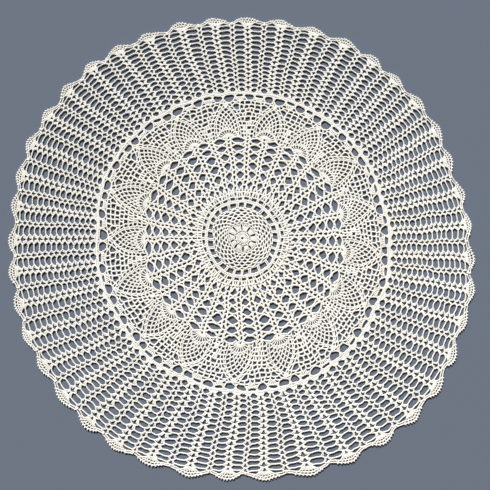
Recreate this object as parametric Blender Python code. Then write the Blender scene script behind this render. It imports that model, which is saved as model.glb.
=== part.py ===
# Crochet lace tablecloth, laid flat: one sheet of openwork with a scalloped edge.
# Metres, +Z up. Angles are in degrees, clockwise from +Y as seen from above.
import math

import bpy

# The sheet
CLOTH_RADIUS = 0.457
THICKNESS = 0.002

# Scalloped edge
SCALLOPS = 42
FIRST_SCALLOP_AT = 1.8
SCALLOP_DEPTH = 0.010
POINTS_PER_SCALLOP = 8

# Ring of windows round the middle rosette
WINDOWS = 25
WINDOW_RING = 0.068
WINDOW_WIDTH = 0.012
WINDOW_HEIGHT = 0.009

# Pineapple sectors: two columns of arched openings run up to each pineapple's base
SECTORS = 17
FIRST_PINEAPPLE_AT = 13.4
ARCH_OFF_AXIS = 5.3
ARCH_HEIGHT = 0.0125

# Ring of loops past the pineapples' tips
LOOP_RING = 0.2845
LOOP_HEIGHT = 0.0095

# Outer band: ladders of chain cells, two to a scallop
LADDER_START = 0.2938
ROUND_PITCH = 0.0105
CELL_HEIGHT = 0.0076
CELL_SHARE = 0.64

# Arched openings cut in each sector
ARCH_COLUMNS = ("ring", "width")
ARCHES = (
    (0.1441, 0.0155),
    (0.2005, 0.0215),
)

# Loop openings cut in each sector, from a tip round to the next
LOOP_COLUMNS = ("off_tip", "width")
LOOPS = (
    (0.0, 0.0170),
    (0.5, 0.0140),
)

# Rounds of the ladders that are cut, and which ladder of each scallop takes them
CELL_COLUMNS = ("round", "off_scallop")
CELLS = (
    (2, -0.25),
    (5, 0.25),
    (8, -0.25),
    (11, 0.25),
)

# Outlines of one opening, as shares of its width and of its height
SHAPE_COLUMNS = ("across", "outward")
WINDOW_SHAPE = (
    (-0.5, -0.3),
    (-0.5, 0.3),
    (-0.25, 0.5),
    (0.25, 0.5),
    (0.5, 0.3),
    (0.5, -0.3),
    (0.25, -0.5),
    (-0.25, -0.5),
)
ARCH_SHAPE = (
    (0.0, -0.5),
    (-0.42, 0.05),
    (-0.5, 0.3),
    (-0.3, 0.5),
    (0.3, 0.5),
    (0.5, 0.3),
    (0.42, 0.05),
)
CELL_SHAPE = (
    (-0.5, 0.0),
    (-0.36, 0.5),
    (0.36, 0.5),
    (0.5, 0.0),
    (0.36, -0.5),
    (-0.36, -0.5),
)

# How unevenly the cloth lies: millimetres outward at three rings, and degrees round at two
UNEVEN_COLUMNS = ("at", "inner", "middle", "edge", "middle_turn", "edge_turn")
UNEVEN = (
    (0, 0, 6, -7, 0.9, -0.4),
    (30, 9, 4, -1, 0.2, 0.2),
    (55, 6, 3, -5, -0.8, -1.2),
    (75, 2, -6, -14, -0.6, -1.0),
    (90, -5, -1, -8, -0.7, -1.0),
    (112, -4, 1, 4, -0.8, -2.4),
    (135, -6, 4, 16, -0.9, -2.8),
    (155, -6, 6, 8, -0.2, -2.0),
    (180, -5, 3, -10, 0.0, 1.6),
    (205, 2, 1, -2, 0.2, 3.5),
    (235, -3, -4, 0, 1.4, 3.6),
    (268, -4, -6, -4, 2.2, 2.2),
    (300, 0, 11, 12, 2.6, 0.9),
    (318, 6, 12, 12, 2.0, -0.4),
    (342, 0, 8, 3, 1.7, -0.8),
)
INNER_RING = 0.188
MIDDLE_RING = 0.2845
FULL_TURN = 360.0
MILLIMETRE = 0.001

# Cotton
COTTON_COLOUR = (0.86, 0.82, 0.72, 1.0)
COTTON_ROUGHNESS = 0.9


# A share from 0 to 1, smoothed at both ends
def ease(share):
    return share * share * (3.0 - 2.0 * share)


# The row of the uneven table at an angle, eased between its two neighbours
def uneven_at(angle):
    angle = angle % FULL_TURN
    rows = UNEVEN + ((UNEVEN[0][0] + FULL_TURN,) + UNEVEN[0][1:],)
    for before, after in zip(rows, rows[1:]):
        if before[0] <= angle <= after[0]:
            share = ease((angle - before[0]) / (after[0] - before[0]))
            values = [a + (b - a) * share for a, b in zip(before, after)]
            return dict(zip(UNEVEN_COLUMNS, values))


# A value that eases from nothing at the centre through what it is at the three rings
def between(radius, inner, middle, edge):
    rings = ((0.0, 0.0), (INNER_RING, inner), (MIDDLE_RING, middle), (CLOTH_RADIUS, edge))
    for (low, at_low), (high, at_high) in zip(rings, rings[1:]):
        if radius <= high:
            return at_low + (at_high - at_low) * ease((radius - low) / (high - low))
    return edge


# Where a point of the even chart lies on the cloth as it was put down
def lay(angle, radius):
    row = uneven_at(angle)
    outward = between(radius, row["inner"], row["middle"], row["edge"]) * MILLIMETRE
    turned = between(radius, 0.0, row["middle_turn"], row["edge_turn"])
    bearing = math.radians(angle + turned)
    reach = radius + outward
    return (reach * math.sin(bearing), reach * math.cos(bearing))


def scalloped_outline():
    points = []
    pitch = FULL_TURN / SCALLOPS
    for scallop in range(SCALLOPS):
        for step in range(POINTS_PER_SCALLOP):
            across = 2.0 * step / POINTS_PER_SCALLOP - 1.0
            angle = FIRST_SCALLOP_AT + (scallop + across / 2.0) * pitch
            points.append(lay(angle, CLOTH_RADIUS - SCALLOP_DEPTH * across * across))
    return points


def opening(angle, radius, width, height, shape):
    points = []
    for row in shape:
        corner = dict(zip(SHAPE_COLUMNS, row))
        reach = radius + corner["outward"] * height
        points.append(lay(angle + math.degrees(corner["across"] * width / reach), reach))
    return points


def windows():
    pitch = FULL_TURN / WINDOWS
    return [
        opening(number * pitch, WINDOW_RING, WINDOW_WIDTH, WINDOW_HEIGHT, WINDOW_SHAPE)
        for number in range(WINDOWS)
    ]


def arches():
    pitch = FULL_TURN / SECTORS
    cut = []
    for sector in range(SECTORS):
        axis = FIRST_PINEAPPLE_AT + sector * pitch
        for row in ARCHES:
            arch = dict(zip(ARCH_COLUMNS, row))
            for side in (-1, 1):
                angle = axis + side * ARCH_OFF_AXIS
                cut.append(opening(angle, arch["ring"], arch["width"], ARCH_HEIGHT, ARCH_SHAPE))
    return cut


def loops():
    pitch = FULL_TURN / SECTORS
    cut = []
    for sector in range(SECTORS):
        for row in LOOPS:
            loop = dict(zip(LOOP_COLUMNS, row))
            angle = FIRST_PINEAPPLE_AT + (sector + loop["off_tip"]) * pitch
            cut.append(opening(angle, LOOP_RING, loop["width"], LOOP_HEIGHT, WINDOW_SHAPE))
    return cut


def ladder_cells():
    pitch = FULL_TURN / SCALLOPS
    cut = []
    for row in CELLS:
        cell = dict(zip(CELL_COLUMNS, row))
        ring = LADDER_START + (cell["round"] + 0.5) * ROUND_PITCH
        width = CELL_SHARE * math.radians(pitch / 2.0) * ring
        for scallop in range(SCALLOPS):
            angle = FIRST_SCALLOP_AT + (scallop + cell["off_scallop"]) * pitch
            cut.append(opening(angle, ring, width, CELL_HEIGHT, CELL_SHAPE))
    return cut


def cotton():
    material = bpy.data.materials.new("cotton_crochet")
    material.use_nodes = True
    shader = material.node_tree.nodes["Principled BSDF"]
    shader.inputs["Base Color"].default_value = COTTON_COLOUR
    shader.inputs["Roughness"].default_value = COTTON_ROUGHNESS
    shader.inputs["Metallic"].default_value = 0.0
    material.diffuse_color = COTTON_COLOUR
    return material


def add_outline(curve, points):
    spline = curve.splines.new("POLY")
    spline.points.add(len(points) - 1)
    spline.use_cyclic_u = True
    for point, (x, y) in zip(spline.points, points):
        point.co = (x, y, 0.0, 1.0)


# A flat filled curve: the scalloped outline, and inside it every opening that is cut
def lace_cloth(collection):
    curve = bpy.data.curves.new("lace_cloth", "CURVE")
    curve.dimensions = "2D"
    curve.fill_mode = "BOTH"
    curve.extrude = THICKNESS / 2.0
    curve.render_resolution_u = 0
    add_outline(curve, scalloped_outline())
    for hole in windows() + arches() + loops() + ladder_cells():
        add_outline(curve, hole)
    curve.materials.append(cotton())
    cloth = bpy.data.objects.new("lace_cloth", curve)
    cloth.location = (0.0, 0.0, THICKNESS / 2.0)
    collection.objects.link(cloth)


def main():
    for old in list(bpy.data.objects):
        bpy.data.objects.remove(old, do_unlink=True)
    collection = bpy.data.collections.new("crochet_lace_tablecloth")
    bpy.context.scene.collection.children.link(collection)
    lace_cloth(collection)


main()
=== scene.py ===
import math

import bpy
import numpy as np
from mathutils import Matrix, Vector


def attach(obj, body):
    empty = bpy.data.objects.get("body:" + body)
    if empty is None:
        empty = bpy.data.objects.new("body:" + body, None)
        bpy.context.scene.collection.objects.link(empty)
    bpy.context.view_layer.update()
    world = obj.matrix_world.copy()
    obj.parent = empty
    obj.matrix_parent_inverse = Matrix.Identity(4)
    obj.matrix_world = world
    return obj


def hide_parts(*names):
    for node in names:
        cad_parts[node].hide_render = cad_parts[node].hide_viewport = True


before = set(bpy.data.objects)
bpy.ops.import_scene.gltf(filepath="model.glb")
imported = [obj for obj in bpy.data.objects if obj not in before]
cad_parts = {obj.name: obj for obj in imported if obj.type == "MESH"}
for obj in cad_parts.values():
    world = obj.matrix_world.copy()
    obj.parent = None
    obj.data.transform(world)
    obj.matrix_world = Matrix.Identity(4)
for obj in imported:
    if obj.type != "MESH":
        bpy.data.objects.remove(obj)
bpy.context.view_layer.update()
print("Frame loaded")

# The chart is in millimetres and degrees, clockwise from the top of the cloth (+Y)
mm = 0.001
fullTurn = 360.0

yarn = {
    "chainThick": 3.5,
    "postThick": 3.0,
    "thinThick": 2.4,
    "stitch": 3.4,  # one chain stitch along the yarn
    "swell": 0.16,  # how far a chain swells at each stitch
    "height": 2.0,  # middle of the yarn above the table
    "hump": 0.4,  # how far a post rises between its ends
    "humpAlong": (0.1, 1.0, 0.3),
    "postGirth": (0.95, 0.92, 1.1),  # at its foot, its middle and its top
    "knotGirth": (0.8, 1.0, 0.7),
    "knotLift": 0.4,
    "bowLength": 5.3,  # how much the square of a bow's rise adds to the square of its length
    "dipBow": 1.4,  # how pointed the chain over a shell is where it is pulled outward
    "wave": 0.06,  # how much of the small waves goes up and down
    "sides": 5,
    "flatten": 0.78,
}

cloth = {"radius": 457.0, "innerRing": 188.0, "middleRing": 284.5}

# How unevenly the cloth was laid down at three rings: millimetres outward, then degrees round
unevenColumns = ("at", "inner", "middle", "edge", "innerTurn", "middleTurn", "edgeTurn")
uneven = (
    (0, -3.5, 2, -6, 0.2, 0.6, -0.4),
    (30, -1, 0, -1, -0.8, 0.2, 0.2),
    (55, -7, 2, -5, -2.6, -0.2, -1.2),
    (75, -8, -7.5, -14, -1.5, -0.3, -1.0),
    (90, -8.5, -3, -8, -0.7, -0.5, -1.0),
    (112, -8, 1, 4, -1.5, -0.8, -2.4),
    (135, -4.5, 4, 16, -2.3, 0.1, -2.8),
    (155, -4.5, 5.5, 8, -2.1, 0.5, -2.0),
    (180, -6, 3.5, -5, -1.5, 0.0, 1.6),
    (205, -6, -3, 5, -1.4, 0.2, 3.5),
    (235, -15, -6, 0, -0.2, 0.1, 3.6),
    (268, -18, -9, -4, 1.6, 2.2, 2.2),
    (300, -8, 6.5, 12, 2.2, 1.5, 0.9),
    (318, -4, 7.5, 12, 1.6, 0.6, -0.4),
    (342, -3.5, 4.5, 3, 1.1, 0.7, -0.8),
)

# Smaller waves that hand work has all over: how long each is, and how far it pushes
waves = (
    (150.0, 1.3),
    (62.0, 0.9),
    (27.0, 0.55),
    (12.0, 0.28),
)
wavesPerLength = 3
handWork = np.random.default_rng(17)


def ease(share):
    return share * share * (3.0 - 2.0 * share)


# Eased from nothing at the centre through its values at the three rings
def betweenRings(reach, inner, middle, edge):
    rings = (0.0, cloth["innerRing"], cloth["middleRing"], cloth["radius"])
    values = (np.zeros_like(reach), inner, middle, edge)
    result = np.array(edge, dtype=float)
    for low, high, atLow, atHigh in zip(rings, rings[1:], values, values[1:]):
        here = (reach >= low) & (reach <= high)
        share = ease(np.clip((reach - low) / (high - low), 0.0, 1.0))
        result = np.where(here, atLow + (atHigh - atLow) * share, result)
    return result


# From the even chart to the cloth as it was put down, in metres
def layDown(angle, reach):
    table = np.array(uneven + ((uneven[0][0] + fullTurn,) + uneven[0][1:],), dtype=float)
    bearing = np.mod(angle, fullTurn)
    row = np.clip(np.searchsorted(table[:, 0], bearing, side="right") - 1, 0, len(table) - 2)
    share = ease((bearing - table[row, 0]) / (table[row + 1, 0] - table[row, 0]))
    here = table[row] + (table[row + 1] - table[row]) * share[:, None]
    column = {name: here[:, place] for place, name in enumerate(unevenColumns)}
    outward = betweenRings(reach, column["inner"], column["middle"], column["edge"])
    turned = betweenRings(reach, column["innerTurn"], column["middleTurn"], column["edgeTurn"])
    bearing = np.radians(angle + turned)
    x = (reach + outward) * np.sin(bearing)
    y = (reach + outward) * np.cos(bearing)
    return x, y


# Adds the small waves to a set of points, and says how much higher or lower each one lies
def ripple(x, y, waveSet):
    shiftX = np.zeros_like(x)
    shiftY = np.zeros_like(x)
    rise = np.zeros_like(x)
    for length, push, heading, phaseX, phaseY, phaseZ in waveSet:
        run = (x * math.cos(heading) + y * math.sin(heading)) * 2.0 * math.pi / length
        shiftX += push * np.sin(run + phaseX)
        shiftY += push * np.sin(run + phaseY)
        rise += push * np.sin(run + phaseZ)
    return x + shiftX, y + shiftY, rise


def drawWaves():
    drawn = []
    for length, push in waves:
        for _ in range(wavesPerLength):
            heading = handWork.uniform(0.0, 2.0 * math.pi)
            phases = handWork.uniform(0.0, 2.0 * math.pi, 3)
            drawn.append((length, push / math.sqrt(wavesPerLength), heading, *phases))
    return drawn


waveSet = drawWaves()


def newBand():
    return {"angle": [], "reach": [], "lift": [], "thick": [], "chained": []}


def strand(band, angle, reach, lift, thick, chained):
    band["angle"].append(angle)
    band["reach"].append(reach)
    band["lift"].append(lift)
    band["thick"].append(thick)
    band["chained"].append(np.full(len(angle), chained))


# Degrees from an axis for a distance sideways at a reach
def aside(axis, offset, reach):
    return axis + math.degrees(offset / reach)


# A run of chain stitches between two places; rise bows it outward, and a high power squares the bow
def chain(band, a0, r0, a1, r1, rise=0.0, power=2.0, thick=None):
    across = math.radians(a1 - a0) * (r0 + r1) / 2.0
    length = math.sqrt(across**2 + (r1 - r0) ** 2 + yarn["bowLength"] * rise**2)
    stitches = max(1, round(length / yarn["stitch"]))
    t = np.linspace(0.0, 1.0, 2 * stitches + 1)
    bow = rise * (1.0 - np.abs(2.0 * t - 1.0) ** power)
    swell = 1.0 - yarn["swell"] * np.cos(2.0 * math.pi * stitches * t)
    strand(
        band,
        a0 + (a1 - a0) * t,
        r0 + (r1 - r0) * t + bow,
        np.zeros(len(t)),
        (thick or yarn["chainThick"]) * swell,
        1.0,
    )


# One tall stitch; bend is how much of its way sideways it has gone at half its height
def post(band, a0, r0, a1, r1, thick=None, bend=0.5):
    across = np.array((0.0, bend, 1.0))
    t = np.array((0.0, 0.5, 1.0))
    strand(
        band,
        a0 + (a1 - a0) * across,
        r0 + (r1 - r0) * t,
        yarn["hump"] * np.array(yarn["humpAlong"]),
        (thick or yarn["postThick"]) * np.array(yarn["postGirth"]),
        0.0,
    )


# A short fat stitch that ties one chain to another, or a picot at the edge
def knot(band, angle, low, high, thick):
    reach = low + (high - low) * np.array((0.0, 0.5, 1.0))
    lift = np.full(3, yarn["knotLift"])
    strand(band, np.full(3, angle), reach, lift, thick * np.array(yarn["knotGirth"]), 0.0)


def ring(band, reach, thick=None):
    chain(band, 0.0, reach, fullTurn, reach, thick=thick)


# How far the next round pulls the chain over a shell outward, at an offset from the shell's axis
def pull(offset, corner, dip):
    return dip * (1.0 - np.minimum(1.0, np.abs(offset) / corner) ** yarn["dipBow"])


# Tall stitches hooked into the shell below and spread at their tops, with a chain over the tops
def shell(band, axisLow, low, axisHigh, high, feet, tops, thick, dip, bend=0.4):
    for foot, top in zip(feet, tops):
        start = low + float(pull(foot, tops[-1], dip))
        post(band, aside(axisLow, foot, start), start, aside(axisHigh, top, high), high, thick, bend)
    left = aside(axisHigh, tops[0], high)
    right = aside(axisHigh, tops[-1], high)
    chain(band, left, high, right, high, dip, yarn["dipBow"])


# Offsets spread evenly on both sides of an axis, with a gap in the middle
def bothSides(inner, outer, count):
    side = list(np.linspace(inner, outer, count))
    return [-offset for offset in reversed(side)] + side


# A fan of stitches that widens outward, with a chain along its domed edge
def fan(band, axis, low, lowHalf, high, highHalf, dome, posts, thick=None):
    for share in np.linspace(-1.0, 1.0, posts):
        foot = aside(axis, share * lowHalf, low)
        top = high - dome * share * share
        post(band, foot, low, aside(axis, share * highHalf, top), top, thick)
    edge = high - dome
    left = aside(axis, -highHalf, edge)
    right = aside(axis, highHalf, edge)
    chain(band, left, edge, right, edge, rise=dome, thick=thick)


rosette = {
    "heart": 3.4,
    "disc": 12.3,
    "discPosts": 22,
    "petals": 10,
    "petalFrom": 15.9,
    "petalTo": 26.8,
    "petalSpread": (2.9, 3.4, 3.7, 4.6, 6.2),  # half its width, from its foot to its top
    "petalStrands": (-1.0, -0.5, 0.0, 0.5, 1.0),
    "petalPoints": 7,
    "petalLift": 0.3,
    "petalGirth": (0.9, 0.25),  # at the ends, and how much more in the middle
    "petalTie": 0.4,
    "petalRing": 28.3,
    "loops": 25,
    "netFrom": 30.3,
    "netRows": 6,
    "netPitch": 5.3,
    "netRise": 2.8,
    "netThick": 3.4,
    "netKnot": 4.0,
    "knotOver": (0.6, 0.4),  # how far a knot reaches into the loops below and above it
    "windowFrom": 62.0,
    "windowTo": 73.6,
    "windowPosts": (-1.5, 1.5),
    "windowLean": 0.9,
    "bandTo": 77.6,
    "bandPosts": 150,
    "slitTo": 85.2,
    "slitThick": 3.0,
    "slitPosts": (-1.7, 1.7),
}


def rosetteBand():
    r = rosette
    band = newBand()
    ring(band, r["heart"], yarn["thinThick"])
    for number in range(r["discPosts"]):
        angle = number * fullTurn / r["discPosts"]
        post(band, angle, r["heart"], angle, r["disc"], yarn["thinThick"])
    ring(band, r["disc"], yarn["thinThick"])
    for number in range(r["petals"]):
        petal(band, (number + 0.5) * fullTurn / r["petals"])
    ring(band, r["petalRing"], yarn["thinThick"])
    pitch = fullTurn / r["loops"]
    below, above = r["knotOver"]
    for row in range(r["netRows"]):
        low = r["netFrom"] + row * r["netPitch"]
        for number in range(r["loops"]):
            start = (number + row % 2 / 2.0) * pitch
            top = low + r["netRise"]
            chain(band, start, low, start + pitch, low, rise=r["netRise"], thick=r["netThick"])
            knot(band, start + pitch / 2.0, top - below, low + r["netPitch"] + above, r["netKnot"])
    ring(band, r["windowFrom"], yarn["thinThick"])
    for number in range(r["loops"]):
        axis = (number + 0.5) * pitch
        for offset in r["windowPosts"]:
            foot = aside(axis, offset - r["windowLean"], r["windowFrom"])
            top = aside(axis, offset + r["windowLean"], r["windowTo"])
            post(band, foot, r["windowFrom"], top, r["windowTo"])
    ring(band, r["windowTo"])
    for number in range(r["bandPosts"]):
        angle = number * fullTurn / r["bandPosts"]
        post(band, angle, r["windowTo"], angle, r["bandTo"])
    ring(band, r["bandTo"], r["slitThick"])
    for number in range(2 * sectors["count"]):
        axis = sectors["first"] + number * fullTurn / (2 * sectors["count"])
        for offset in r["slitPosts"]:
            low = aside(axis, offset, r["bandTo"])
            high = aside(axis, offset, r["slitTo"])
            post(band, low, r["bandTo"], high, r["slitTo"])
    ring(band, r["slitTo"], r["slitThick"])
    return band


# Tall stitches that spread from a short chain, tied to the disc at one side of it
def petal(band, axis):
    r = rosette
    t = np.linspace(0.0, 1.0, r["petalPoints"])
    reach = r["petalFrom"] + (r["petalTo"] - r["petalFrom"]) * t
    spread = np.interp(t, np.linspace(0.0, 1.0, len(r["petalSpread"])), r["petalSpread"])
    ends, more = r["petalGirth"]
    for share in r["petalStrands"]:
        angle = axis + np.degrees(share * spread / reach)
        lift = r["petalLift"] * (1.0 - abs(share)) * np.sin(math.pi * t)
        thick = yarn["thinThick"] * (ends + more * np.sin(math.pi * t))
        strand(band, angle, reach, lift, thick, 0.0)
    half = r["petalSpread"][0]
    foot = r["petalFrom"]
    chain(band, aside(axis, -half, foot), foot, aside(axis, half, foot), foot, thick=yarn["thinThick"])
    tie = axis + fullTurn / r["petals"] / 2.0
    post(band, tie, r["disc"], tie, foot + r["petalTie"], yarn["thinThick"])


sectors = {"count": 17, "first": 13.4}

arches = {
    # Where each round ends; arches and V's take turns
    "levels": (
        85.2,
        95.1,
        105.6,
        115.7,
        126.0,
        136.2,
        146.2,
        155.7,
        165.8,
        174.7,
        183.6,
        191.7,
        199.4,
        206.3,
    ),
    "innerFoot": 1.9,
    "innerTop": 4.0,
    "outerFoot": (3.2, 4.1),  # the shells widen from the first round to the last
    "outerTop": (5.3, 6.4),
    "sidePosts": 2,
    "firstThick": 3.4,  # the first round stands close
    "postThick": 3.0,
    "archThick": 3.8,
    "dip": 3.0,  # how far the next round pulls the chain over a shell outward
    "archRise": 1.4,
    "riseStray": 0.8,
    "archDrop": 3.6,  # how far below the shell tops an arch springs
    "archBow": 1.6,
    "tie": 2.2,  # how far above the arch's middle the next round's V is tied to it
    "tieStray": 0.3,  # degrees
    "tieKnot": (3.6, 1.0),  # from how far below the tie to how far above it
    "sag": -2.4,  # how the arms of a V hang toward the arch
    "stray": (0.8, 2.1),  # how far a shell may sit off its column's line
}


# Two columns of shells to a sector, joined by arches and V's in turn
def archBand():
    a = arches
    band = newBand()
    columns = 2 * sectors["count"]
    pitch = fullTurn / columns
    rounds = len(a["levels"]) - 1
    stray = handWork.uniform(-1.0, 1.0, (rounds + 1, columns))
    stray *= np.linspace(*a["stray"], rounds + 1)[:, None]
    for number in range(rounds):
        low = a["levels"][number]
        high = a["levels"][number + 1]
        share = number / (rounds - 1)
        outerFoot = a["outerFoot"][0] + (a["outerFoot"][1] - a["outerFoot"][0]) * share
        outerTop = a["outerTop"][0] + (a["outerTop"][1] - a["outerTop"][0]) * share
        feet = bothSides(a["innerFoot"], outerFoot, a["sidePosts"])
        tops = bothSides(a["innerTop"], outerTop, a["sidePosts"])
        dip, thick = (a["dip"], a["postThick"]) if number else (0.0, a["firstThick"])
        corner = (outerFoot + 2.0 * outerTop) / 3.0
        for column in range(columns):
            axis = sectors["first"] + column * pitch
            start = aside(axis, stray[number, column], low)
            here = aside(axis, stray[number + 1, column], high)
            following = aside(axis + pitch, stray[number + 1, (column + 1) % columns], high)
            shell(band, start, low, here, high, feet, tops, thick, dip)
            bow = a["archRise"] + handWork.uniform(-a["riseStray"], a["riseStray"])
            if number == 0:
                between = axis + pitch / 2.0
                post(band, between, low, between, high)
            if number % 2 == 0:
                spring = high - a["archDrop"]
                left = aside(here, corner, spring)
                right = aside(following, -corner, spring)
                rise = bow + a["archDrop"]
                chain(band, left, spring, right, spring, rise, a["archBow"], a["archThick"])
            else:
                left = aside(here, tops[-1], high)
                right = aside(following, tops[0], high)
                middle = (left + right) / 2.0 + handWork.uniform(-a["tieStray"], a["tieStray"])
                tie = low + a["archRise"] + a["tie"]
                chain(band, left, high, middle, tie, rise=a["sag"], thick=a["archThick"])
                chain(band, middle, tie, right, high, rise=a["sag"], thick=a["archThick"])
                knot(band, middle, tie - a["tieKnot"][0], tie + a["tieKnot"][1], a["archThick"])
    return band


pineapple = {
    "heart": 206.8,  # the stitches of its base spread from a small half round here
    "heartWide": 1.5,
    "heartTall": 1.0,
    "baseWide": 10.5,
    "baseTall": 6.4,
    "basePosts": 10,
    "baseThick": 3.2,
    "slitWide": 21.0,
    "slitTall": 15.2,
    "slitThick": 2.6,
    "baseTurn": 80.0,
    "netThick": 3.0,
    "netBow": 1.6,
    "netStitches": 3,
    "netReach": 0.6,  # its ends stop this much of a shell's half width from the shell's axis
    "shellFrom": 206.3,
    "shellRound": 7.2,
    "shellRounds": 9,
    "shellHalf": 4.4,
    "shellDip": 1.6,
    "shellBend": 0.5,
    "shellFeet": (-2.5, 2.5),
    "shellTops": (-4.2, 4.2),
    "tipFrom": 264.4,
    "tipTo": 272.4,
    "tipHalf": (1.0, 5.0),
    "tipPosts": 4,
    "meshFrom": 206.3,
    "meshRound": 7.5,
    "meshRounds": 9,
    "meshCell": 10.0,
    "meshThick": (4.2, 3.2),  # at the first round and at the last
    "meshPost": 1.15,  # a post's thickness for a chain's
    "meshRise": 0.9,
    "meshOver": 1.0,  # how far the mesh reaches into the shells beside it
    "closeRounds": 4,  # every second hole of these rounds has a post in it
    "closeThick": 3.8,
    "meshAside": 2.0,  # how far a post of the mesh may stray sideways
    "meshOut": 1.3,  # and its top in or out
    "wideRound": 7,  # the round whose end holes are the large ones beside the tips
    "wideCell": 15.5,
    "wideRise": 3.2,
    "wideDip": -1.8,
}

# Each row of the net has one loop fewer than the one below it: its reach, half width and dome
netRows = (
    (222.3, 21.0, 11.5),
    (228.0, 22.8, 8.8),
    (233.6, 22.8, 6.4),
    (239.2, 21.6, 4.4),
    (244.6, 19.2, 2.9),
    (250.0, 15.8, 1.7),
    (255.2, 11.4, 0.8),
    (260.3, 6.4, 0.3),
    (265.2, 0.0, 0.0),
)

# The path of the shells up each side of a pineapple: a reach, and degrees from the axis there
shellPath = (
    (206.0, 8.1),
    (218.0, 8.0),
    (230.0, 7.4),
    (240.0, 6.4),
    (248.0, 5.3),
    (256.0, 3.9),
    (263.0, 2.3),
    (269.0, 1.35),
    (290.0, 1.1),
)


def shellOffset(reach):
    path = np.array(shellPath)
    return float(np.interp(reach, path[:, 0], path[:, 1]))


# A row of holes between stops, with a post at each inner stop and a loop of chain over each hole;
# the chains over the end holes have a rise of their own, and the end posts may start higher
def meshRow(band, axis, stops, lows, highs, thick, endRise, raised, over):
    for stop, low, high in list(zip(stops, lows, highs))[1:-1]:
        foot = low + (raised if abs(stop) > over else 0.0)
        top = aside(axis, stop, high)
        post(band, aside(axis, stop, foot), foot, top, high, thick * pineapple["meshPost"])
    for number, (first, last) in enumerate(zip(stops, stops[1:])):
        low, high = highs[number], highs[number + 1]
        rise = endRise if number in (0, len(stops) - 2) else pineapple["meshRise"]
        chain(band, aside(axis, first, low), low, aside(axis, last, high), high, rise=rise, thick=thick)


def pineappleBand(firstSector, lastSector):
    band = newBand()
    pitch = fullTurn / sectors["count"]
    for sector in range(firstSector, lastSector):
        axis = sectors["first"] + sector * pitch
        pineappleBase(band, axis)
        pineappleNet(band, axis)
        for side in (-1.0, 1.0):
            sideShells(band, axis, side)
        low, high = pineapple["tipFrom"], pineapple["tipTo"]
        lowHalf, highHalf = pineapple["tipHalf"]
        fan(band, axis, low, lowHalf, high, highHalf, 0.0, pineapple["tipPosts"])
        betweenPineapples(band, axis + pitch / 2.0)
        loopsOver(band, axis)
    return band


# A dome of close stitches, and round it a second row that stands a little apart
def pineappleBase(band, axis):
    p = pineapple
    turns = np.radians(np.linspace(-p["baseTurn"], p["baseTurn"], p["basePosts"]))
    heart = p["heart"]
    for turn in turns:
        across = math.sin(turn)
        up = math.cos(turn)
        foot = (p["heartWide"] * across, heart + p["heartTall"] * up)
        middle = (p["baseWide"] * across, heart + p["baseTall"] * up)
        top = (p["slitWide"] * across, heart + p["slitTall"] * up)
        post(band, aside(axis, *foot), foot[1], aside(axis, *middle), middle[1], p["baseThick"])
        post(band, aside(axis, *middle), middle[1], aside(axis, *top), top[1], p["slitThick"])
    for wide, tall in ((p["baseWide"], p["baseTall"]), (p["slitWide"], p["slitTall"])):
        reach = heart + tall * np.cos(turns)
        angle = axis + np.degrees(wide * np.sin(turns) / reach)
        thick = np.full(len(turns), p["netThick"])
        strand(band, angle, reach, np.zeros(len(turns)), thick, 1.0)


def pineappleNet(band, axis):
    p = pineapple
    for row, (below, above) in enumerate(zip(netRows, netRows[1:])):
        loopCount = len(netRows) - 1 - row
        feet = np.linspace(-1.0, 1.0, loopCount + 1)
        tops = np.linspace(-1.0, 1.0, loopCount) if loopCount > 1 else np.zeros(1)
        footReach = below[0] - below[2] * feet**2
        topReach = above[0] - above[2] * tops**2
        footAngle = axis + np.degrees(feet * below[1] / footReach)
        topAngle = axis + np.degrees(tops * above[1] / topReach)
        for number in range(loopCount):
            loop(
                band,
                (footAngle[number], footAngle[number + 1]),
                (footReach[number], footReach[number + 1]),
                topAngle[number],
                topReach[number],
                p["netThick"],
            )
        for side, end in ((-1.0, 0), (1.0, loopCount)):
            reach = float(footReach[end])
            beside = -side * p["shellHalf"] * p["netReach"]
            inner = aside(axis + side * shellOffset(reach), beside, reach)
            if (inner - footAngle[end]) * side > 0.0:
                chain(band, float(footAngle[end]), reach, inner, reach, thick=p["netThick"])


# One loop of the net, from one foot over its top to the other foot
def loop(band, footAngles, footReaches, topAngle, topReach, thick):
    stitches = pineapple["netStitches"]
    t = np.linspace(0.0, 1.0, 2 * stitches + 1)
    leg = 1.0 - np.abs(2.0 * t - 1.0)
    climb = 1.0 - (1.0 - leg) ** pineapple["netBow"]
    base = np.where(t < 0.5, footReaches[0], footReaches[1])
    start = np.where(t < 0.5, footAngles[0], footAngles[1])
    angle = start + (topAngle - start) * leg
    reach = base + (topReach - base) * climb
    swell = 1.0 - yarn["swell"] * np.cos(2.0 * stitches * math.pi * t)
    strand(band, angle, reach, np.zeros(len(t)), thick * swell, 1.0)


def sideShells(band, axis, side):
    p = pineapple
    for number in range(p["shellRounds"]):
        low = p["shellFrom"] + number * p["shellRound"]
        high = low + p["shellRound"]
        shell(
            band,
            axis + side * shellOffset(low),
            low,
            axis + side * shellOffset(high),
            high,
            p["shellFeet"],
            p["shellTops"],
            yarn["postThick"],
            p["shellDip"],
            p["shellBend"],
        )


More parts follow.
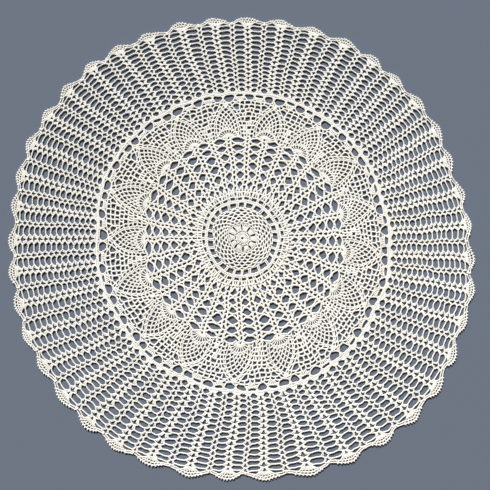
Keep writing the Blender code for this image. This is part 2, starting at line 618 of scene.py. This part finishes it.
def betweenPineapples(band, axis):
    p = pineapple
    half = fullTurn / sectors["count"] / 2.0
    endRises = {p["wideRound"] - 1: p["wideDip"], p["wideRound"]: p["wideRise"]}
    raised = 0.0
    over = 0.0
    stopsBelow = (0.0,)
    reachBelow = (p["meshFrom"],)
    for number in range(p["meshRounds"]):
        low = p["meshFrom"] + number * p["meshRound"]
        high = low + p["meshRound"]
        wide = math.radians(half - shellOffset(high)) * high - p["shellHalf"] + p["meshOver"]
        if number == p["wideRound"]:
            inner = wide - p["wideCell"]
            cells = round(2.0 * inner / p["meshCell"])
            stops = np.concatenate(((-wide,), np.linspace(-inner, inner, cells + 1), (wide,)))
        else:
            cells = max(1, round(2.0 * wide / p["meshCell"]) + number % 2)
            stops = np.linspace(-wide, wide, cells + 1)
        stops[1:-1] += handWork.uniform(-p["meshAside"], p["meshAside"], len(stops) - 2)
        thick = float(np.interp(number, (0, p["meshRounds"] - 1), p["meshThick"]))
        lows = np.interp(stops, stopsBelow, reachBelow)
        highs = np.full(len(stops), high)
        highs[1:-1] += handWork.uniform(-p["meshOut"], p["meshOut"], len(stops) - 2)
        endRise = endRises.get(number, p["meshRise"])
        meshRow(band, axis, stops, lows, highs, thick, endRise, raised, over)
        if number < p["closeRounds"]:
            for first, last in list(zip(stops, stops[1:]))[number % 2 :: 2]:
                middle = (first + last) / 2.0
                top = aside(axis, middle, high)
                post(band, aside(axis, middle, low), low, top, high, p["closeThick"])
        stopsBelow = stops
        reachBelow = highs
        raised = p["wideRise"] if number == p["wideRound"] else 0.0
        over = inner if number == p["wideRound"] else 0.0


loopRing = {
    "ring": 291.4,
    "fillLow": 5.5,  # the stitches above and below the place where two loops meet
    "highHalf": 1.3,
    "lowHalf": 2.2,
    "fillPosts": 2,
    "pinch": 0.6,  # half the width of those stitches at that place
    "stitches": 6,
    "floorBow": 2.8,  # a high power squares the corners of a loop
    "crownBow": 6.0,
    "fanFrom": 274.0,
    "fanHalf": (4.5, 7.5),
    "fanDome": 0.8,
    "fanPosts": 5,
    "start": -0.9,  # degrees from a pineapple's tip
}

# The five loops of a sector, clockwise from a pineapple's tip: each one's share of the sector,
# the reach of its floor, its crown and its corner, and whether a fan stands behind it
loops = (
    (0.232, 273.4, 288.8, 281.4, False),
    (0.186, 282.0, 289.8, 284.8, True),
    (0.204, 276.0, 290.2, 284.8, False),
    (0.186, 282.0, 289.8, 284.8, True),
    (0.192, 274.0, 288.6, 284.2, False),
)

# The band is worked in three stretches: from which sector to which, its flat size and its area
pineappleStretches = (
    (0, 6, (0.525, 0.202), 0.0488),
    (6, 12, (0.525, 0.202), 0.0488),
    (12, 17, (0.469, 0.170), 0.0407),
)


def loopsOver(band, tip):
    k = loopRing
    pitch = fullTurn / sectors["count"]
    start = tip + k["start"]
    corners = [entry[3] for entry in loops]
    for entry, corner, nextCorner in zip(loops, corners, corners[1:] + corners[:1]):
        share, floor, crown, _, backed = entry
        end = start + share * pitch
        middle = (start + end) / 2.0
        for reach, half in ((k["ring"], k["highHalf"]), (corner - k["fillLow"], k["lowHalf"])):
            fan(band, start, corner, k["pinch"], reach, half, 0.0, k["fillPosts"], yarn["thinThick"])
        for reach, power in ((floor, k["floorBow"]), (crown, k["crownBow"])):
            turning = np.linspace(0.0, 1.0, 2 * k["stitches"] + 1)
            bow = 1.0 - np.abs(2.0 * turning - 1.0) ** power
            base = corner + (nextCorner - corner) * turning
            swell = 1.0 - yarn["swell"] * np.cos(2.0 * k["stitches"] * math.pi * turning)
            strand(
                band,
                start + (end - start) * turning,
                base + (reach - base) * bow,
                np.zeros(len(turning)),
                yarn["postThick"] * swell,
                1.0,
            )
        if backed:
            low, high = k["fanHalf"]
            fan(band, middle, k["fanFrom"], low, floor, high, k["fanDome"], k["fanPosts"])
        start = end
    chain(band, tip + k["start"], k["ring"], tip + k["start"] + pitch, k["ring"])


ladders = {
    "first": 1.8,  # angle of the first scallop's peak
    "scallops": 42,
    "stretches": 3,
    "ring": 293.2,
    "from": 293.8,
    "round": 10.5,
    "rounds": 14,
    "peakFeet": (-4.0, -2.8, -1.7, 1.7, 2.8, 4.0),
    "peakTops": (-10.0, -7.1, -4.2, 4.2, 7.1, 10.0),
    "valleyFeet": (-2.6, -1.5, 1.5, 2.6),
    "valleyTops": (-6.8, -3.8, 3.8, 6.8),
    "basePosts": 6,  # each column stands on a close base, widest on the ring
    "basePeak": 8.2,
    "baseValley": 6.2,
    "baseTall": 3.8,
    "baseThick": 3.4,
    "peakThick": 2.7,
    "valleyThick": 2.3,
    "overThick": 2.9,
    "bend": 0.3,
    "dip": 5.0,
    "rungThick": 2.7,
    "rungBow": 2.4,
    "rise": (-0.3, 1.0),  # the least and the most that a column's rungs bow outward
    "riseStray": 0.7,
    "valleyKnot": 448.6,  # a knot ties the last round to the scallops' arcs up to here
    "knotFrom": 2.0,
    "knotThick": 1.3,
}

scallop = {
    "arcReach": (441.4, 447.6, 452.6, 457.4),  # at the scallop's peak
    "arcDrop": (0.8, 3.0, 8.2, 9.5),  # how much lower each arc lies at the valley
    "fanHalf": (6.0, 12.0, 17.0, 21.5),
    "fanPosts": (9, 7, 8),
    "fanThick": (3.1, 2.4, 2.4),
    "depth": (0.8, 1.15),  # some scallops are drawn deeper than others
    "arcThick": 2.6,
    "arcSteps": 40,
    "longArcs": (2, 3),  # the arcs that run on to the next scallop
    "innerRise": 1.0,
    "picots": 9,
    "picotRise": 2.6,
}


# The columns of one stretch of the cloth's outer part, from the loops to the scallops
def outerBand(firstScallop, lastScallop):
    w = ladders
    band = newBand()
    pitch = fullTurn / w["scallops"]
    for number in range(firstScallop, lastScallop):
        axis = w["first"] + number * pitch
        chain(band, axis, w["ring"], axis + pitch, w["ring"], thick=w["rungThick"])
        for half in (0, 1):
            here = axis + half * pitch / 2.0
            ladderColumn(band, here, half == 0)
        scallopFan(band, axis)
        last = w["from"] + w["rounds"] * w["round"]
        thick = yarn["chainThick"] * w["knotThick"]
        knot(band, axis + pitch / 2.0, last + w["knotFrom"], w["valleyKnot"], thick)
    return band


# One column of shells, and the rungs from it to the next column
def ladderColumn(band, axis, peak):
    w = ladders
    here, other = ("peak", "valley") if peak else ("valley", "peak")
    feet, tops = w[here + "Feet"], w[here + "Tops"]
    corner, otherCorner = tops[-1], w[other + "Tops"][-1]
    halfPitch = fullTurn / w["scallops"] / 2.0
    bow = handWork.uniform(*w["rise"])
    half = w["basePeak"] if peak else w["baseValley"]
    waist = w["from"] + w["baseTall"]
    for u in np.linspace(-1.0, 1.0, w["basePosts"]):
        foot = aside(axis, u * half, w["from"])
        post(band, foot, w["from"], aside(axis, u * feet[-1], waist), waist, w["baseThick"])
    for row in range(w["rounds"]):
        low = w["from"] + row * w["round"]
        high = low + w["round"]
        for foot, top in zip(feet, tops):
            start = low + float(pull(foot, corner, w["dip"])) if row else waist
            angle = aside(axis, foot, start)
            post(band, angle, start, aside(axis, top, high), high, w[here + "Thick"], w["bend"])
        left = aside(axis, corner, high)
        before = aside(axis, -corner, high)
        chain(band, before, high, left, high, w["dip"], yarn["dipBow"], w["overThick"])
        right = aside(axis + halfPitch, -otherCorner, high)
        rise = bow + handWork.uniform(-w["riseStray"], w["riseStray"])
        chain(band, left, high, right, high, rise, w["rungBow"], w["rungThick"])


# A close fan with two rows of holes over it, its outer arcs one soft wave along the scallops
def scallopFan(band, axis):
    s = scallop
    halfPitch = fullTurn / ladders["scallops"] / 2.0
    depth = handWork.uniform(*s["depth"])

    def arc(row, share):
        return s["arcReach"][row] - depth * s["arcDrop"][row] * (1.0 - np.cos(math.pi * share)) / 2.0

    def place(row, offset):
        share = math.degrees(offset / s["arcReach"][row]) / halfPitch
        return axis + share * halfPitch, float(arc(row, share))

    for row, (posts, thick) in enumerate(zip(s["fanPosts"], s["fanThick"])):
        for u in np.linspace(-1.0, 1.0, posts):
            foot = place(row, u * s["fanHalf"][row])
            top = place(row + 1, u * s["fanHalf"][row + 1])
            post(band, *foot, *top, thick)
    for row in s["longArcs"]:
        share = np.linspace(-1.0, 1.0, s["arcSteps"] + 1)
        swell = 1.0 - yarn["swell"] * np.cos(math.pi * s["arcSteps"] * (share + 1.0) / 2.0)
        strand(band, axis + share * halfPitch, arc(row, share), 0.0 * share, s["arcThick"] * swell, 1.0)
    left = place(1, -s["fanHalf"][1])
    right = place(1, s["fanHalf"][1])
    chain(band, *left, *right, rise=s["innerRise"], thick=s["arcThick"])
    for offset in np.linspace(-s["fanHalf"][3], s["fanHalf"][3], s["picots"]):
        angle, reach = place(3, offset)
        knot(band, angle, reach, reach + s["picotRise"], yarn["chainThick"])


# Geometry nodes that turn a network of edges into yarn, flattened a little where it lies
def yarnTube():
    tree = bpy.data.node_groups.new("yarnTube", "GeometryNodeTree")
    tree.interface.new_socket("Geometry", in_out="INPUT", socket_type="NodeSocketGeometry")
    tree.interface.new_socket("Geometry", in_out="OUTPUT", socket_type="NodeSocketGeometry")
    nodes = tree.nodes
    links = tree.links
    source = nodes.new("NodeGroupInput")
    result = nodes.new("NodeGroupOutput")
    toCurve = nodes.new("GeometryNodeMeshToCurve")
    normal = nodes.new("GeometryNodeSetCurveNormal")
    normal.mode = "Z_UP"
    thick = nodes.new("GeometryNodeInputNamedAttribute")
    thick.data_type = "FLOAT"
    thick.inputs["Name"].default_value = "thick"
    radius = nodes.new("ShaderNodeMath")
    radius.operation = "MULTIPLY"
    radius.inputs[1].default_value = 0.5
    profile = nodes.new("GeometryNodeCurvePrimitiveCircle")
    profile.inputs["Resolution"].default_value = yarn["sides"]
    profile.inputs["Radius"].default_value = 1.0
    flatten = nodes.new("GeometryNodeTransform")
    flatten.inputs["Scale"].default_value = (1.0, yarn["flatten"], 1.0)
    position = nodes.new("GeometryNodeInputPosition")
    split = nodes.new("ShaderNodeSeparateXYZ")
    side = nodes.new("GeometryNodeStoreNamedAttribute")
    side.data_type = "FLOAT"
    side.domain = "POINT"
    side.inputs["Name"].default_value = "side"
    tube = nodes.new("GeometryNodeCurveToMesh")
    tube.inputs["Fill Caps"].default_value = True
    smooth = nodes.new("GeometryNodeSetShadeSmooth")
    links.new(source.outputs[0], toCurve.inputs["Mesh"])
    links.new(toCurve.outputs["Curve"], normal.inputs["Curve"])
    links.new(thick.outputs["Attribute"], radius.inputs[0])
    links.new(profile.outputs["Curve"], flatten.inputs["Geometry"])
    links.new(flatten.outputs["Geometry"], side.inputs["Geometry"])
    links.new(position.outputs["Position"], split.inputs[0])
    links.new(split.outputs["X"], side.inputs["Value"])
    links.new(normal.outputs["Curve"], tube.inputs["Curve"])
    links.new(side.outputs["Geometry"], tube.inputs["Profile Curve"])
    links.new(radius.outputs[0], tube.inputs["Scale"])
    links.new(tube.outputs["Mesh"], smooth.inputs["Geometry"])
    links.new(smooth.outputs["Geometry"], result.inputs[0])
    return tree


tubeTree = yarnTube()


# Lays a band of the chart down and works it in yarn: one closed tube to each strand
def workInYarn(name, band, material):
    sizes = np.array([len(run) for run in band["angle"]])
    angle = np.concatenate(band["angle"])
    reach = np.concatenate(band["reach"])
    lift = np.concatenate(band["lift"])
    thick = np.concatenate(band["thick"])
    chained = np.concatenate(band["chained"])
    x, y = layDown(angle, reach)
    x, y, rise = ripple(x, y, waveSet)
    z = yarn["height"] + lift + yarn["wave"] * rise
    points = np.column_stack((x, y, z)) * mm
    ends = np.cumsum(sizes) - 1
    starts = np.arange(len(points) - 1)
    starts = starts[~np.isin(starts, ends)]
    steps = np.linalg.norm(np.diff(points, axis=0), axis=1)
    steps[ends[:-1]] = 0.0
    along = np.concatenate(((0.0,), np.cumsum(steps)))
    line = bpy.data.meshes.new(name + "Line")
    line.vertices.add(len(points))
    line.vertices.foreach_set("co", points.ravel())
    line.edges.add(len(starts))
    line.edges.foreach_set("vertices", np.column_stack((starts, starts + 1)).ravel())
    for label, values in (("thick", thick * mm), ("along", along), ("chained", chained)):
        attribute = line.attributes.new(label, "FLOAT", "POINT")
        attribute.data.foreach_set("value", values)
    network = bpy.data.objects.new(name + "Line", line)
    bpy.context.scene.collection.objects.link(network)
    tubes = network.modifiers.new("yarn", "NODES")
    tubes.node_group = tubeTree
    worked = network.evaluated_get(bpy.context.evaluated_depsgraph_get())
    mesh = bpy.data.meshes.new_from_object(worked)
    mesh.name = name
    mesh.materials.clear()
    mesh.materials.append(material)
    piece = bpy.data.objects.new(name, mesh)
    bpy.context.scene.collection.objects.link(piece)
    bpy.data.objects.remove(network, do_unlink=True)
    triangles = sum(len(face.vertices) - 2 for face in mesh.polygons)
    metres = steps.sum()
    print(f"{name}: {len(sizes)} strands, {metres:.1f} m of yarn, {triangles} triangles")
    return piece


cotton = {
    "white": (0.895, 0.885, 0.835, 1.0),
    "cream": (0.885, 0.855, 0.775, 1.0),
    # painted shade: a dark brown that stands in for the shade down in the yarn's grooves
    "grooveShadeColour": (0.62, 0.55, 0.45, 1.0),
    "roughness": 0.82,
    "sheen": 0.25,
    "sheenRoughness": 0.5,
    "specular": 0.3,
    "veeSlant": 1.9,  # how far a V's arms run back along the chain
    "seam": 3.5,  # how narrow the seam down the middle of a chain is
    "twist": 0.0019,  # one turn of the twist, in metres
    "twistLean": 1.6,
    "fuzz": 0.35,  # how high the fine fibres stand for a stitch's height
    "fuzzScale": 1800.0,
    "fuzzDetail": 3.0,
    "bump": 0.7,
    "bumpDepth": 0.0004,
    "ageScale": 5.0,  # broad patches run from the white to the cream
    "ageDetail": 4.0,
    "ageRange": (0.35, 0.65),
    "grooveShadeTo": 0.5,  # up to this height of the stitch, the painted groove shade shows
    "grooveShadeMost": 0.45,
}


def mathNode(nodes, links, operation, first, second=None):
    node = nodes.new("ShaderNodeMath")
    node.operation = operation
    for socket, value in zip(node.inputs, (first, second)):
        if isinstance(value, (int, float)):
            socket.default_value = value
        elif value is not None:
            links.new(value, socket)
    return node.outputs[0]


def attributeNode(nodes, label):
    node = nodes.new("ShaderNodeAttribute")
    node.attribute_name = label
    return node.outputs["Fac"]


# Crocheted cotton: a chain shows a row of V's, a post a close twist, both with fine fibres and with
# shade painted into their grooves
def cottonMaterial():
    material = bpy.data.materials.new("cottonCrochet")
    material.use_nodes = True
    nodes = material.node_tree.nodes
    links = material.node_tree.links
    shader = nodes["Principled BSDF"]
    shader.inputs["Roughness"].default_value = cotton["roughness"]
    shader.inputs["Sheen Weight"].default_value = cotton["sheen"]
    shader.inputs["Sheen Roughness"].default_value = cotton["sheenRoughness"]
    shader.inputs["Specular IOR Level"].default_value = cotton["specular"]
    along = attributeNode(nodes, "along")
    side = attributeNode(nodes, "side")
    chained = attributeNode(nodes, "chained")
    away = mathNode(nodes, links, "ABSOLUTE", side)
    stitches = mathNode(nodes, links, "MULTIPLY", along, math.pi / (yarn["stitch"] * mm))
    slant = mathNode(nodes, links, "MULTIPLY", away, cotton["veeSlant"])
    veeRun = mathNode(nodes, links, "SUBTRACT", stitches, slant)
    vee = mathNode(nodes, links, "ABSOLUTE", mathNode(nodes, links, "SINE", veeRun))
    seam = mathNode(nodes, links, "MULTIPLY", away, cotton["seam"])
    seam = mathNode(nodes, links, "MINIMUM", seam, 1.0)
    braid = mathNode(nodes, links, "MULTIPLY", vee, seam)
    turns = mathNode(nodes, links, "MULTIPLY", along, math.pi / cotton["twist"])
    lean = mathNode(nodes, links, "MULTIPLY", side, cotton["twistLean"])
    twistRun = mathNode(nodes, links, "ADD", turns, lean)
    twist = mathNode(nodes, links, "ABSOLUTE", mathNode(nodes, links, "SINE", twistRun))
    pick = nodes.new("ShaderNodeMix")
    pick.data_type = "FLOAT"
    links.new(chained, pick.inputs["Factor"])
    links.new(twist, pick.inputs["A"])
    links.new(braid, pick.inputs["B"])
    place = nodes.new("ShaderNodeTexCoord")
    fibre = nodes.new("ShaderNodeTexNoise")
    fibre.inputs["Scale"].default_value = cotton["fuzzScale"]
    fibre.inputs["Detail"].default_value = cotton["fuzzDetail"]
    links.new(place.outputs["Object"], fibre.inputs["Vector"])
    fuzz = mathNode(nodes, links, "MULTIPLY", fibre.outputs["Fac"], cotton["fuzz"])
    height = mathNode(nodes, links, "ADD", pick.outputs["Result"], fuzz)
    bump = nodes.new("ShaderNodeBump")
    bump.inputs["Strength"].default_value = cotton["bump"]
    bump.inputs["Distance"].default_value = cotton["bumpDepth"]
    links.new(height, bump.inputs["Height"])
    links.new(bump.outputs["Normal"], shader.inputs["Normal"])
    age = nodes.new("ShaderNodeTexNoise")
    age.inputs["Scale"].default_value = cotton["ageScale"]
    age.inputs["Detail"].default_value = cotton["ageDetail"]
    links.new(place.outputs["Object"], age.inputs["Vector"])
    spread = nodes.new("ShaderNodeMapRange")
    spread.inputs["From Min"].default_value = cotton["ageRange"][0]
    spread.inputs["From Max"].default_value = cotton["ageRange"][1]
    links.new(age.outputs["Fac"], spread.inputs["Value"])
    tone = nodes.new("ShaderNodeMix")
    tone.data_type = "RGBA"
    tone.inputs["A"].default_value = cotton["white"]
    tone.inputs["B"].default_value = cotton["cream"]
    links.new(spread.outputs["Result"], tone.inputs["Factor"])
    # Painted shade: the lower the stitch pattern lies, the more the colour turns to the painted groove
    # shade
    depth = nodes.new("ShaderNodeMapRange")
    depth.inputs["From Min"].default_value = 0.0
    depth.inputs["From Max"].default_value = cotton["grooveShadeTo"]
    depth.inputs["To Min"].default_value = cotton["grooveShadeMost"]
    depth.inputs["To Max"].default_value = 0.0
    links.new(pick.outputs["Result"], depth.inputs["Value"])
    shadedTone = nodes.new("ShaderNodeMix")
    shadedTone.data_type = "RGBA"
    shadedTone.inputs["B"].default_value = cotton["grooveShadeColour"]
    links.new(depth.outputs["Result"], shadedTone.inputs["Factor"])
    links.new(tone.outputs["Result"], shadedTone.inputs["A"])
    links.new(shadedTone.outputs["Result"], shader.inputs["Base Color"])
    return material


studio = {
    "floorColour": (0.126, 0.148, 0.19, 1.0),
    "floorRoughness": 0.9,
    "floorSpecular": 0.15,
    "floorSize": 3.0,
    "lens": 39.0,
    "distance": 1.037,
    "tilt": 6.1,
    "aimAside": 0.0059,
    "aimDown": 0.0125,
    "sensor": 36.0,
    # Where each lamp stands, its power and its colour; both look at the middle of the cloth
    "key": ((-1.2, 4.2, 3.1), 6.15, (0.965, 0.98, 1.0)),
    "keySpread": 11.0,
    "fill": ((0.3, -2.6, 2.6), 10.0, (1.0, 0.66, 0.33)),
    "fillSize": 2.4,
    "worldColour": (1.0, 0.95, 0.87, 1.0),
    "worldStrength": 0.05,
}


def floorMaterial():
    material = bpy.data.materials.new("plainFloor")
    material.use_nodes = True
    shader = material.node_tree.nodes["Principled BSDF"]
    shader.inputs["Base Color"].default_value = studio["floorColour"]
    shader.inputs["Roughness"].default_value = studio["floorRoughness"]
    shader.inputs["Specular IOR Level"].default_value = studio["floorSpecular"]
    return material


def softLamp(name, kind, place, power, colour):
    lamp = bpy.data.lights.new(name, kind)
    lamp.energy = power
    lamp.color = colour
    if kind == "SUN":
        lamp.angle = math.radians(studio["keySpread"])
    else:
        lamp.shape = "DISK"
        lamp.size = studio["fillSize"]
    holder = bpy.data.objects.new(name, lamp)
    holder.location = place
    holder.rotation_euler = (-Vector(place)).to_track_quat("-Z", "Y").to_euler()
    bpy.context.scene.collection.objects.link(holder)


def makeStudio():
    bpy.ops.mesh.primitive_plane_add(size=studio["floorSize"], location=(0.0, 0.0, 0.0))
    floor = bpy.context.active_object
    floor.name = "floor"
    floor.data.materials.append(floorMaterial())
    softLamp("key", "SUN", *studio["key"])
    softLamp("fill", "AREA", *studio["fill"])
    world = bpy.data.worlds.new("soft")
    world.use_nodes = True
    background = world.node_tree.nodes["Background"]
    background.inputs["Color"].default_value = studio["worldColour"]
    background.inputs["Strength"].default_value = studio["worldStrength"]
    bpy.context.scene.world = world
    bpy.context.scene.view_settings.view_transform = "Standard"


def makeCamera():
    lens = bpy.data.cameras.new("camera")
    lens.lens = studio["lens"]
    lens.sensor_width = studio["sensor"]
    camera = bpy.data.objects.new("camera", lens)
    tilt = math.radians(studio["tilt"])
    aim = Vector((studio["aimAside"], -studio["aimDown"], 0.0))
    camera.location = aim + Vector((0.0, -math.sin(tilt), math.cos(tilt))) * studio["distance"]
    camera.rotation_euler = (tilt, 0.0, 0.0)
    bpy.context.scene.collection.objects.link(camera)
    bpy.context.scene.camera = camera


def dress():
    yarnCotton = cottonMaterial()
    middle = workInYarn("rosette", rosetteBand(), yarnCotton)
    archPiece = workInYarn("archBand", archBand(), yarnCotton)
    pines = []
    for number, (first, last, _, _) in enumerate(pineappleStretches):
        pines.append(workInYarn(f"pineapples{number + 1}", pineappleBand(first, last), yarnCotton))
    third = ladders["scallops"] // ladders["stretches"]
    outer = []
    for number in range(ladders["stretches"]):
        stretch = outerBand(number * third, (number + 1) * third)
        outer.append(workInYarn(f"ladders{number + 1}", stretch, yarnCotton))
    for piece in [middle, archPiece] + pines + outer:
        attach(piece, "root")
        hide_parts("lace_cloth")


makeStudio()
makeCamera()
print("Studio ready")
dress()
print("Cloth worked")
